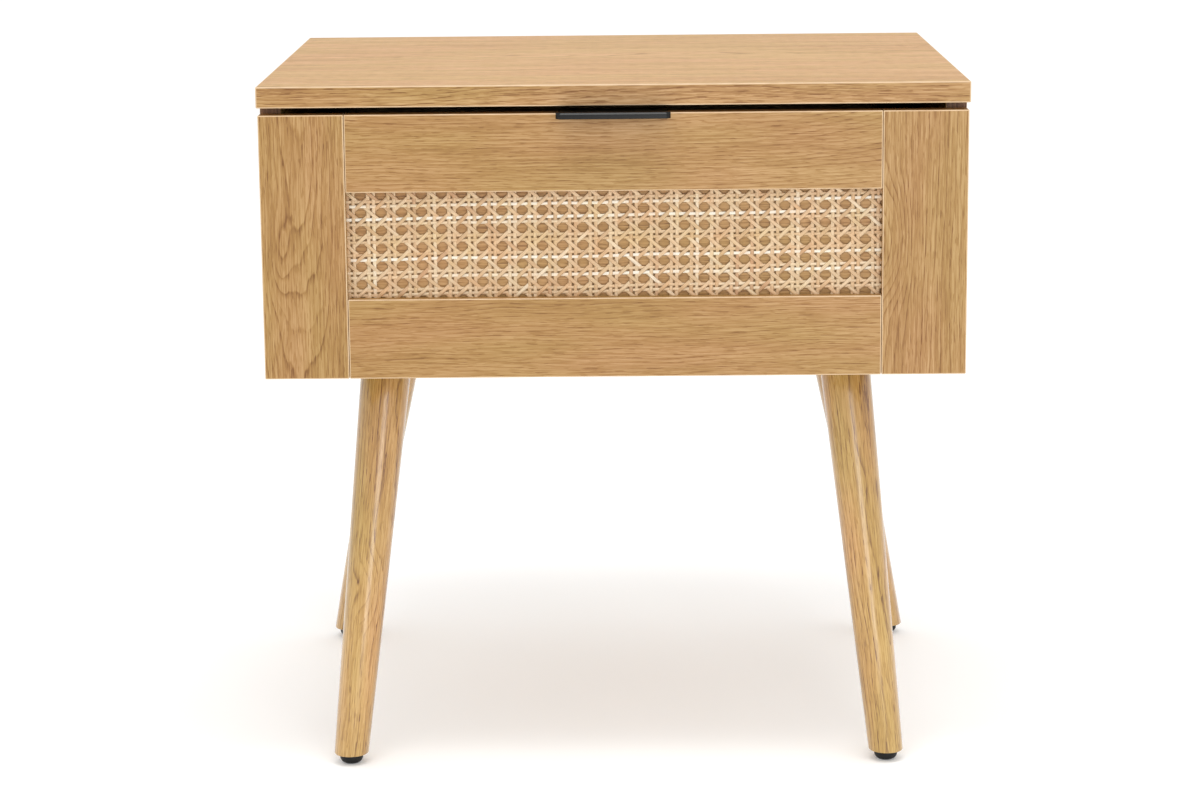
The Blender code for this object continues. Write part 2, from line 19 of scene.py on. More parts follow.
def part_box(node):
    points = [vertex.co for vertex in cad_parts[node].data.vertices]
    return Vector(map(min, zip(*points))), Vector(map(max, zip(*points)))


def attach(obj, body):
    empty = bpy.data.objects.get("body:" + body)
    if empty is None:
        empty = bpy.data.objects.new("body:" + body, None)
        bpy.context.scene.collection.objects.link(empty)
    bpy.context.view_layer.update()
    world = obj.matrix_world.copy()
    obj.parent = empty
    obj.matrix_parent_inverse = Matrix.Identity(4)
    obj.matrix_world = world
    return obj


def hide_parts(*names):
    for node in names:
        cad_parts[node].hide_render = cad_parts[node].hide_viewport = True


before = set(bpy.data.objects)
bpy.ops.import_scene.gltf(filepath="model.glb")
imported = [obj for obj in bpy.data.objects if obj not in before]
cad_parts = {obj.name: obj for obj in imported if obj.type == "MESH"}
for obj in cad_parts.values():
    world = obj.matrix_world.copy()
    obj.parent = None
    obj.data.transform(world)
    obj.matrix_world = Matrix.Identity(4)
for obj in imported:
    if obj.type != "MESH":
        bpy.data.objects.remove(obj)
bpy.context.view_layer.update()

MM = 0.001
# Points closer than the first are one point; points within the second lie in the same plane.
WELD = 0.001 * MM
LEVEL_WITH = 0.01 * MM
SIDES = (("left", -1), ("right", 1))
log = logging.getLogger("nightstand")

Colour = tuple[float, float, float, float]
Place = tuple[float, float, float]
Box = tuple[Vector, Vector]
Tree = bpy.types.NodeTree
Node = bpy.types.Node
Socket = bpy.types.NodeSocket
Material = bpy.types.Material
Piece = bpy.types.Object
Shape = bmesh.types.BMesh
Edge = bmesh.types.BMEdge


# ---- Materials ----

def linear(code: str) -> Colour:
    """Turn an sRGB hex colour into linear values for a shader.

    Args:
        code: The colour as "#RRGGBB".

    Returns:
        Linear red, green, blue and an alpha of one.
    """
    channels = [int(code[start:start + 2], 16) / 255 for start in (1, 3, 5)]
    red, green, blue = [value / 12.92 if value <= 0.04045 else ((value + 0.055) / 1.055) ** 2.4
                        for value in channels]
    return red, green, blue, 1.0


def feed(tree: Tree, node: Node, inputs: dict[Any, Any]) -> None:
    """Fill a node's inputs.

    Args:
        tree: The material's node tree.
        node: The node.
        inputs: Input name or number to an output socket to link, or to a plain value.
    """
    for name, value in inputs.items():
        if isinstance(value, Socket):
            tree.links.new(value, node.inputs[name])
        else:
            node.inputs[name].default_value = value


def add_node(tree: Tree, kind: str, inputs: dict[Any, Any] | None = None,
             stops: Iterable[tuple[float, Any]] = (), **settings: Any) -> Node:
    """Add a shader node with its settings, its input values and the links into it.

    Args:
        tree: The material's node tree.
        kind: The node's type name after "ShaderNode".
        inputs: What goes into the node, as in feed().
        stops: For a colour ramp, each stop's place and its colour or grey value.
        settings: Properties of the node itself.

    Returns:
        The new node.
    """
    node = tree.nodes.new("ShaderNode" + kind)
    for name, value in settings.items():
        setattr(node, name, value)
    feed(tree, node, inputs or {})
    for index, (place, tone) in enumerate(stops):
        elements = node.color_ramp.elements
        element = elements[index] if index < 2 else elements.new(place)
        element.position = place
        element.color = tone if isinstance(tone, tuple) else (tone, tone, tone, 1.0)
    return node


def new_material(name: str) -> tuple[Material, Tree, Node]:
    """Start a node material.

    Args:
        name: The material's name.

    Returns:
        The material, its node tree and its Principled shader.
    """
    material = bpy.data.materials.new(name)
    material.use_nodes = True
    tree = material.node_tree
    return material, tree, tree.nodes["Principled BSDF"]


class Coating(Enum):
    """What lies over the oak figure."""

    FOIL = "foil"
    LACQUER = "lacquer"


@dataclass(frozen=True)
class Knot:
    """Place where a branch grew; the rings flow round it and close into an eye."""

    place: Place
    size: float
    depth: float
    slimness: float = 0.4


@dataclass(frozen=True)
class Oak:
    """Oak cut from a trunk: growth rings round a heart, open pores and fine fibres.

    As satin foil on board it looks dry, with a soft sheen at a low angle. Under gloss lacquer it
    looks wet and warm, with pale highlights. The heart's place is given after the turn that
    brings the grain to X.
    """

    grain: Place = (1.0, 0.0, 0.0)
    heart: Place = (0.3, 0.02, 0.07)
    light: str = "#B6905F"
    middle: str = "#9D743C"
    dark: str = "#744815"
    warmth: tuple[str, str] = ("#FBFFF0", "#FFFAFB")
    coating: Coating = Coating.FOIL
    ring_width: float = 2.8 * MM
    taper: float = 0.06
    sway: float = 9 * MM
    contrast: float = 1.0
    pore_start: float = 0.56
    knot: Knot | None = None

    # Length along the grain, and width across it, of each kind of mark. A real pore is about
    # 0.3 mm wide and a fibre is finer; both are drawn 0.8 mm wide or more, so that they show.
    PORE = (10 * MM, 0.85 * MM, 0.85 * MM)
    BREAK = (16 * MM, 1.6 * MM, 1.6 * MM)
    FIBRE = (26 * MM, 0.8 * MM, 0.8 * MM)
    CLOUD = (260 * MM, 16 * MM, 16 * MM)
    WARMTH = (150 * MM, 30 * MM, 30 * MM)
    BEND = (200 * MM, 55 * MM, 55 * MM)
    WAVER = (30 * MM, 7 * MM, 7 * MM)
    WAVER_DEPTH = 1.2 * MM

    # Weakest and strongest darkness of each mark: 0 is the light tone and 1 the dark one.
    CLOUD_TONES = (0.10, 0.34)
    RING_TONES = (0.16, 0.62)
    BREAK_TONES = (0.45, 1.0)
    PORE_TONES = (0.20, 0.44)
    FIBRE_TONES = (-0.17, 0.17)
    # Darkness through one year, from the porous spring line to the plain summer wood.
    YEAR = ((0.0, 0.1), (0.07, 1.0), (0.18, 0.55), (0.34, 0.16), (0.80, 0.0))
    PORE_EDGE = 0.05
    MIDDLE_TONE = 0.38

    # Relief and roughness under each coating, and the roughness of the lacquer itself.
    SURFACES = {Coating.FOIL: (0.22, (0.42, 0.54)), Coating.LACQUER: (0.05, (0.34, 0.46))}
    LACQUER_ROUGHNESS = 0.17
    PORE_DEPTH = 0.3 * MM

    def build(self, name: str) -> Material:
        """Make the node material.

        Args:
            name: The material's name.

        Returns:
            The material.
        """
        material, tree, shader = new_material(name)
        figure = OakFigure(self, tree)
        tone = figure.darkness()
        colour = add_node(tree, "ValToRGB", {"Fac": tone},
                          ((0.0, linear(self.light)), (self.MIDDLE_TONE, linear(self.middle)),
                           (1.0, linear(self.dark))))
        hue = add_node(tree, "ValToRGB", {"Fac": figure.blots(self.WARMTH, 1.0).outputs["Fac"]},
                       zip((0.36, 0.64), map(linear, self.warmth)))
        warmed = add_node(tree, "Mix",
                          {0: 1.0, 6: colour.outputs["Color"], 7: hue.outputs["Color"]},
                          data_type="RGBA", blend_type="MULTIPLY")
        relief, (smooth, rough) = self.SURFACES[self.coating]
        gloss = add_node(tree, "MapRange", {"Value": tone, "To Min": smooth, "To Max": rough})
        bump = add_node(tree, "Bump",
                        {"Height": tone, "Strength": relief, "Distance": self.PORE_DEPTH},
                        invert=True)
        feed(tree, shader, {"Base Color": warmed.outputs[2], "Roughness": gloss.outputs[0],
                            "Normal": bump.outputs["Normal"]})
        if self.coating is Coating.LACQUER:
            feed(tree, shader, {"Coat Weight": 1.0, "Coat Roughness": self.LACQUER_ROUGHNESS})
        return material


class OakFigure:
    """One oak's figure, drawn step by step in a material's node tree."""

    def __init__(self, oak: Oak, tree: Tree) -> None:
        """Turn the point so that X runs along the grain, and count it from the heart.

        Args:
            oak: The oak.
            tree: The material's node tree.
        """
        self.oak, self.tree = oak, tree
        self.turn = Vector(oak.grain).rotation_difference(Vector((1, 0, 0))).to_euler()
        place = add_node(tree, "TexCoord")
        turned = add_node(tree, "Mapping",
                          {"Vector": place.outputs["Object"], "Rotation": self.turn,
                           "Location": tuple(-value for value in oak.heart)})
        self.aligned = turned.outputs["Vector"]

    def blots(self, size: Place, detail: float) -> Node:
        """Draw uneven blots of a given length along the grain and width across it.

        Args:
            size: The blots' length, width and depth.
            detail: How many finer layers lie over them.

        Returns:
            The noise node.
        """
        spread = add_node(self.tree, "VectorMath",
                          {0: self.aligned, 1: tuple(1 / length for length in size)},
                          operation="MULTIPLY")
        return add_node(self.tree, "TexNoise",
                        {"Vector": spread.outputs[0], "Scale": 1.0, "Detail": detail})

    def bulge(self, knot: Knot) -> Socket:
        """Work out how far a knot pushes the rings away at each point.

        Args:
            knot: The knot.

        Returns:
            The push in metres, largest at the knot's middle.
        """
        middle = Vector(knot.place)
        middle.rotate(self.turn)
        middle -= Vector(self.oak.heart)
        slim = Vector((knot.slimness, 1.0, 1.0))
        squeezed = add_node(self.tree, "VectorMath", {0: self.aligned, 1: slim},
                            operation="MULTIPLY")
        apart = add_node(self.tree, "VectorMath", {0: squeezed.outputs[0], 1: middle * slim},
                         operation="DISTANCE")
        return add_node(self.tree, "MapRange",
                        {"Value": apart.outputs["Value"], "From Min": 0.0, "From Max": knot.size,
                         "To Min": knot.depth, "To Max": 0.0},
                        interpolation_type="SMOOTHSTEP").outputs[0]

    def radius(self) -> Socket:
        """Measure the distance from the heart of a trunk that tapers, sways and has a knot.

        Returns:
            The distance in metres.
        """
        oak, tree, swayed = self.oak, self.tree, self.aligned
        for size, depth in ((oak.BEND, oak.sway), (oak.WAVER, oak.WAVER_DEPTH)):
            centred = add_node(tree, "VectorMath",
                               {0: self.blots(size, 2.0).outputs["Color"], 1: (0.5, 0.5, 0.5)},
                               operation="SUBTRACT")
            swayed = add_node(tree, "VectorMath",
                              {0: centred.outputs[0], 1: (depth * 2,) * 3, 2: swayed},
                              operation="MULTIPLY_ADD").outputs[0]
        tapered = add_node(tree, "VectorMath", {0: swayed, 1: (oak.taper, 1.0, 1.0)},
                           operation="MULTIPLY")
        radius = add_node(tree, "VectorMath", {0: tapered.outputs[0]},
                          operation="LENGTH").outputs["Value"]
        if oak.knot:
            radius = add_node(tree, "Math", {0: radius, 1: self.bulge(oak.knot)},
                              operation="SUBTRACT").outputs[0]
        return radius

    def darkness(self) -> Socket:
        """Add up the rings, pores, fibres and clouds.

        Returns:
            The figure's darkness, from 0 for the light tone to 1 for the dark one.
        """
        oak, tree = self.oak, self.tree
        rings = add_node(tree, "Math", {0: self.radius(), 1: oak.ring_width}, operation="DIVIDE")
        phase = add_node(tree, "Math", {0: rings.outputs[0]}, operation="FRACT")
        early = add_node(tree, "ValToRGB", {"Fac": phase.outputs[0]}, oak.YEAR).outputs["Color"]
        year = add_node(tree, "Math", {0: rings.outputs[0]}, operation="FLOOR")
        strength = add_node(tree, "TexWhiteNoise", {"W": year.outputs[0]},
                            noise_dimensions="1D").outputs["Value"]
        pore, gap, fibre, cloud = (self.blots(size, detail).outputs["Fac"] for size, detail in (
            (oak.PORE, 1.0), (oak.BREAK, 2.0), (oak.FIBRE, 2.0), (oak.CLOUD, 2.0)))
        pores = add_node(tree, "ValToRGB", {"Fac": pore},
                         ((oak.pore_start, 0.0), (oak.pore_start + oak.PORE_EDGE, 1.0)))
        ranges = {"ring": (strength, (0.0, 1.0), oak.RING_TONES),
                  "break": (gap, (0.36, 0.58), oak.BREAK_TONES),
                  "pore": (early, (0.0, 1.0), oak.PORE_TONES),
                  "fibre": (fibre, (0.36, 0.64), oak.FIBRE_TONES),
                  "cloud": (cloud, (0.3, 0.7), oak.CLOUD_TONES)}
        tones = {}
        for mark, (source, (start, stop), (weak, strong)) in ranges.items():
            tones[mark] = add_node(tree, "MapRange",
                                   {"Value": source, "From Min": start, "From Max": stop,
                                    "To Min": weak, "To Max": strong}).outputs[0]
        for mark, factor in (("ring", early), ("ring", tones["break"]),
                             ("pore", pores.outputs["Color"])):
            tones[mark] = add_node(tree, "Math", {0: tones[mark], 1: factor},
                                   operation="MULTIPLY").outputs[0]
        total = tones["cloud"]
        for mark in ("ring", "pore", "fibre"):
            total = add_node(tree, "Math", {0: tones[mark], 1: oak.contrast, 2: total},
                             operation="MULTIPLY_ADD").outputs[0]
        return total


@dataclass(frozen=True)
class Cane:
    """Woven natural rattan cane: straw-coloured bark strips with a waxy face and fine fibres.

    Each strip has its own tone, from pinkish straw to nearly white.
    """

    tones: tuple[str, ...] = ("#C29C76", "#D0AE84", "#D5B58E", "#DABD98", "#E3CBA9", "#F0E6D5")
    stains: tuple[str, str, str] = ("#FBEFE4", "#FFFFFF", "#FBF9EC")
    # The pattern's chart runs once round a strip and once along it.
    girth: float = 5.2 * MM
    fibre_width: float = 0.2 * MM
    fibres_along: float = 30.0
    fibre_depth: float = 0.2 * MM
    stain_size: float = 18.2 * MM
    streaks: tuple[float, float] = (0.69, 1.12)
    roughness: float = 0.42
    specular: float = 0.45

    def build(self, name: str) -> Material:
        """Make the node material, which reads each strip's tone and its own UV map.

        Args:
            name: The material's name.

        Returns:
            The material.
        """
        material, tree, shader = new_material(name)
        strip = add_node(tree, "Attribute", attribute_name=CaneSheet.TONE).outputs["Fac"]
        last = len(self.tones) - 1
        base = add_node(tree, "ValToRGB", {"Fac": strip},
                        ((index / last, linear(tone)) for index, tone in enumerate(self.tones)))
        chart = add_node(tree, "UVMap", uv_map="UVMap")
        counts = (self.fibres_along, self.girth / self.fibre_width, 1.0)
        stretched = add_node(tree, "VectorMath", {0: chart.outputs["UV"], 1: counts},
                             operation="MULTIPLY")
        apart = add_node(tree, "VectorMath", {0: stretched.outputs[0], 1: strip}, operation="ADD")
        fibres = add_node(tree, "TexNoise",
                          {"Vector": apart.outputs[0], "Scale": 1.0, "Detail": 3.0})
        place = add_node(tree, "TexCoord")
        blots = add_node(tree, "TexNoise",
                         {"Vector": place.outputs["Object"], "Scale": 1 / self.stain_size,
                          "Detail": 2.0})
        darkest, palest = self.streaks
        streak = add_node(tree, "MapRange",
                          {"Value": fibres.outputs["Fac"], "From Min": 0.3, "From Max": 0.7,
                           "To Min": darkest, "To Max": palest})
        stain = add_node(tree, "ValToRGB", {"Fac": blots.outputs["Fac"]},
                         zip((0.35, 0.52, 0.68), map(linear, self.stains)))
        stained = add_node(tree, "Mix",
                           {0: 1.0, 6: base.outputs["Color"], 7: stain.outputs["Color"]},
                           data_type="RGBA", blend_type="MULTIPLY")
        streaked = add_node(tree, "VectorMath",
                            {0: stained.outputs[2], "Scale": streak.outputs[0]}, operation="SCALE")
        bump = add_node(tree, "Bump", {"Height": fibres.outputs["Fac"], "Strength": 0.35,
                                       "Distance": self.fibre_depth})
        feed(tree, shader, {"Base Color": streaked.outputs[0], "Roughness": self.roughness,
                            "Specular IOR Level": self.specular,
                            "Normal": bump.outputs["Normal"]})
        return material


@dataclass(frozen=True)
class Speckled:
    """A plain solid whose colour, gloss and surface vary a little in grains of a real size."""

    base: str
    spot: str
    grain: float
    relief: float
    roughness: tuple[float, float]
    metallic: float = 0.0
    stretch: Place = (1.0, 1.0, 1.0)
    specular: float = 0.5
    detail: float = 3.0
    glow: float = 0.0

    def build(self, name: str) -> Material:
        """Make the node material.

        Args:
            name: The material's name.

        Returns:
            The material.
        """
        material, tree, shader = new_material(name)
        place = add_node(tree, "TexCoord")
        spread = add_node(tree, "VectorMath",
                          {0: place.outputs["Object"],
                           1: tuple(1 / (self.grain * part) for part in self.stretch)},
                          operation="MULTIPLY")
        grains = add_node(tree, "TexNoise",
                          {"Vector": spread.outputs[0], "Scale": 1.0, "Detail": self.detail})
        colour = add_node(tree, "ValToRGB", {"Fac": grains.outputs["Fac"]},
                          ((0.32, linear(self.base)), (0.68, linear(self.spot))))
        low, high = self.roughness
        rough = add_node(tree, "MapRange",
                         {"Value": grains.outputs["Fac"], "From Min": 0.3, "From Max": 0.7,
                          "To Min": low, "To Max": high})
        bump = add_node(tree, "Bump", {"Height": grains.outputs["Fac"], "Strength": 0.4,
                                       "Distance": self.relief})
        feed(tree, shader, {"Base Color": colour.outputs["Color"], "Metallic": self.metallic,
                            "Specular IOR Level": self.specular, "Roughness": rough.outputs[0],
                            "Normal": bump.outputs["Normal"],
                            "Emission Color": linear("#FFFFFF"), "Emission Strength": self.glow})
        return material


# Foil folded over an eased edge: a thin pale line along the board, partly real and partly a painted
# highlight where the eased edge catches the light.
PALE_EDGE_AND_HIGHLIGHT = Speckled("#C9A982", "#D8BC98", 15.0 * MM, 0.02 * MM, (0.35, 0.5))
# Satin powder coat on steel: nearly black and a little uneven, with narrow bright highlights.
POWDER_COAT = Speckled("#060606", "#0C0C0B", 0.9 * MM, 0.02 * MM, (0.18, 0.26), specular=0.28)
# Moulded nylon: black, duller than the powder coat and faintly grainy.
BLACK_NYLON = Speckled("#0B0B0B", "#131313", 0.6 * MM, 0.04 * MM, (0.40, 0.55), specular=0.3)
# Bright zinc plate on rolled steel: cool grey, with faint long streaks in its sheen.
ZINC_PLATE = Speckled("#B4B6B8", "#CACBCA", 9.0 * MM, 0.01 * MM, (0.26, 0.36), metallic=1.0,
                      stretch=(1.0, 4.0, 1.0))
# Pressed hardboard: dull brown and fibrous.
HARDBOARD = Speckled("#74502F", "#98704A", 3.0 * MM, 0.10 * MM, (0.60, 0.80), detail=6.0)
# Clear soft rubber: a small pale drop with a soft shine.
CLEAR_RUBBER = Speckled("#C9C9C2", "#DADAD4", 1.0 * MM, 0.02 * MM, (0.30, 0.40))
# Matt white studio paper: flat and pale, lit through a little so that shadows stay soft.
STUDIO_PAPER = Speckled("#F6F6F5", "#FAFAF9", 333 * MM, 0.0, (0.9, 0.9), glow=0.12)


# ---- Mesh helpers ----

def as_object(name: str, shape: Shape, materials: Sequence[Material]) -> Piece:
    """Turn a finished bmesh into an object of the scene.

    Args:
        name: The object's name.
        shape: The bmesh, which is freed.
        materials: The object's materials, in the order of its faces' material numbers.

    Returns:
        The new object.
    """
    data = bpy.data.meshes.new(name)
    shape.to_mesh(data)
    shape.free()
    for material in materials:
        data.materials.append(material)
    thing = bpy.data.objects.new(name, data)
    bpy.context.scene.collection.objects.link(thing)
    return thing


def make_piece(name: str, shape: Shape, body: str,
               materials: Sequence[Material], replaces: str = "") -> Piece:
    """Turn a finished bmesh into a piece that rides on its body.

    Args:
        name: The piece's name.
        shape: The bmesh, in the frame's own coordinates.
        body: The body that the piece moves with.
        materials: The piece's materials.
        replaces: The CAD node that the piece stands for, if there is one.

    Returns:
        The new object.
    """
    bmesh.ops.recalc_face_normals(shape, faces=shape.faces)
    piece = as_object(name, shape, materials)
    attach(piece, body)
    if replaces:
        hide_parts(replaces)
    return piece


def dress(nodes: Iterable[str], material: Material) -> None:
    """Give carried-over CAD nodes their finished material.

    Args:
        nodes: The nodes' names.
        material: The material that replaces their own.
    """
    for node in nodes:
        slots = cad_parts[node].material_slots
        for slot in slots:
            slot.link = "DATA"
            slot.material = material
        if not slots:
            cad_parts[node].data.materials.append(material)


def add_box(shape: Shape, span: Box) -> None:
    """Add a plain box to a bmesh.

    Args:
        shape: The bmesh.
        span: The box's lowest and highest corner.
    """
    low, high = span
    bmesh.ops.create_cube(shape, size=1.0, matrix=Matrix.Translation((low + high) / 2)
                          @ Matrix.Diagonal((*(high - low), 1.0)))


def ease(shape: Shape, edges: Sequence[Edge], reach: float, steps: int) -> None:
    """Chamfer or round some edges.

    Args:
        shape: The bmesh.
        edges: Its edges to cut back.
        reach: How far the cut goes from each edge.
        steps: One for a chamfer, and more for a rounding.
    """
    bmesh.ops.bevel(shape, geom=edges, offset=reach, segments=steps, affect="EDGES", profile=0.5,
                    material=-1)


def cut_off(shape: Shape, point: Vector, outward: Place) -> list[Edge]:
    """Cut away all that lies beyond a plane.

    Args:
        shape: The bmesh.
        point: A point on the plane.
        outward: The direction in which everything goes.

    Returns:
        The edges of the cut.
    """
    everything = shape.verts[:] + shape.edges[:] + shape.faces[:]
    cut = bmesh.ops.bisect_plane(shape, geom=everything, dist=WELD, plane_co=point,
                                 plane_no=outward, clear_outer=True)
    return [item for item in cut["geom_cut"] if isinstance(item, Edge)]


def smooth_walls(shape: Shape) -> None:
    """Shade a turned shape's walls smoothly, and leave its ends flat.

    Args:
        shape: The bmesh.
    """
    for face in shape.faces:
        face.smooth = len(face.verts) <= 4


# ---- Boards ----

@dataclass
class Board:
    """One board with eased edges; its ends across the grain are edged with their own strip.

    Where the foil meets along an eased edge, a thin pale line shows; it is partly a painted
    highlight of the lit edge.
    """

    node: str
    body: str
    slot: str
    finish: Oak
    radius: float = 0.7 * MM
    pale_edges_and_highlights: bool = False
    edge: Oak | None = None

    EASING_STEPS = 3
    # Share of a face's normal that lies along one axis: on a flat face, and towards a side.
    FLAT = 0.99
    FACING = 0.7

    def edging(self, axis: int) -> Oak:
        """Choose the finish of the edge strips that run along an axis.

        Args:
            axis: The axis's number.

        Returns:
            The edge's oak, or the board's own, with its grain along the strip.
        """
        grain = tuple(float(axis == number) for number in range(3))
        return replace(self.edge or self.finish, grain=grain, heart=(0.31, 0.06, 0.11), taper=0.06,
                       contrast=self.finish.contrast * 1.15, pore_start=0.53, knot=None)

    def build(self) -> Piece:
        """Make the board in its node's place.

        Returns:
            The board.
        """
        low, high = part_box(self.node)
        shape = bmesh.new()
        add_box(shape, (low, high))
        ease(shape, shape.edges[:], self.radius, self.EASING_STEPS)
        thin, short, long = sorted(range(3), key=lambda axis: high[axis] - low[axis])
        shape.normal_update()
        for face in shape.faces:
            face.smooth = max(abs(part) for part in face.normal) < self.FLAT
            # Eased faces take the pale line, which is partly a painted highlight of the lit edge.
            if self.pale_edges_and_highlights and face.smooth:
                face.material_index = 3
            elif abs(face.normal[thin]) < self.FACING:
                face.material_index = 1 if abs(face.normal[short]) > self.FACING else 2
        materials = [self.finish.build(self.node + "_oak"),
                     self.edging(long).build(self.node + "_long_edging"),
                     self.edging(short).build(self.node + "_short_edging")]
        # The pale edge material is partly a painted highlight along the eased edges.
        if self.pale_edges_and_highlights:
            materials.append(PALE_EDGE_AND_HIGHLIGHT.build(self.node + "_pale_edge_and_highlight_line"))
        return make_piece(self.node + "_board", shape, self.body, materials, self.node)


# ---- Cabinet ----

@dataclass
class Cabinet:
    """Top, sides, base and back of the fixed cabinet, and the small pads that stop the drawer."""

    body: str = "cabinet"
    pad_radius: float = 4 * MM
    pad_height: float = 1.6 * MM
    pad_drop: float = 30 * MM
    pad_draft: float = 0.8
    pad_sides: int = 32

    def build(self) -> list[Piece]:
        """Make the cabinet's boards and stop pads, and dress the back panel.

        Returns:
            The new pieces.
        """
        # The top's faces are drawn lighter than its edge strips and the fronts: painted light
        # standing in for the stronger light falling on it from above.
        top = Oak(heart=(-0.7, 0.03, 0.475), light="#D1A168", middle="#B78945", sway=14 * MM)
        top_edge = replace(top, light="#BC9766", middle="#A27A43")
        pieces = [Board("top_panel", self.body, "oak_board", top, radius=0.9 * MM,
                        pale_edges_and_highlights=True, edge=top_edge).build()]
        # The side panels' edge strips are drawn dark brown: painted shade for the shadow in the gap
        # behind the drawer front.
        painted_shade_edge = Oak(light="#86603C", middle="#6F4A2C", dark="#4A2E18")
        for side, sign in SIDES:
            finish = Oak(grain=(0, 1, 0), heart=(0.5 * sign, -0.232 * sign, 0.37 + 0.03 * sign),
                         taper=0.09, sway=12 * MM)
            pieces.append(Board("side_panel_" + side, self.body, "oak_board", finish,
                                edge=painted_shade_edge).build())
        base = Oak(heart=(0.5, 0.05, 0.275))
        pieces.append(Board("base_panel", self.body, "oak_board", base).build())
        dress(["back_panel"], HARDBOARD.build("brown_hardboard"))
        rubber = CLEAR_RUBBER.build("clear_stop_pad_rubber")
        for side, _ in SIDES:
            pieces.append(self.stop_pad(side, rubber))
        return pieces

    def stop_pad(self, side: str, material: Material) -> Piece:
        """Make the stop pad on a side panel's front edge, near the top.

        Args:
            side: "left" or "right".
            material: The pad's material.

        Returns:
            The pad.
        """
        low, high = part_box("side_panel_" + side)
        centre = Vector(((low.x + high.x) / 2, low.y - self.pad_height / 2,
                         high.z - self.pad_drop))
        aim = Matrix.Translation(centre) @ Matrix.Rotation(math.pi / 2, 4, "X")
        shape = bmesh.new()
        bmesh.ops.create_cone(shape, cap_ends=True, segments=self.pad_sides,
                              radius1=self.pad_radius, radius2=self.pad_radius * self.pad_draft,
                              depth=self.pad_height, matrix=aim)
        smooth_walls(shape)
        return make_piece("stop_pad_" + side, shape, self.body, [material])


# ---- Cane ----

class Course(Enum):
    """The four directions in which the cane's strips run."""

    UPRIGHT = "upright"
    LEVEL = "level"
    RISING = "rising"
    FALLING = "falling"


@dataclass(frozen=True)
class Strip:
    """One strip of cane; its ends are in columns and rows, and its offset in metres."""

    course: Course
    start: tuple[float, float]
    end: tuple[float, float]
    width: float
    offset: tuple[float, float] = (0.0, 0.0)
    order: int = 0


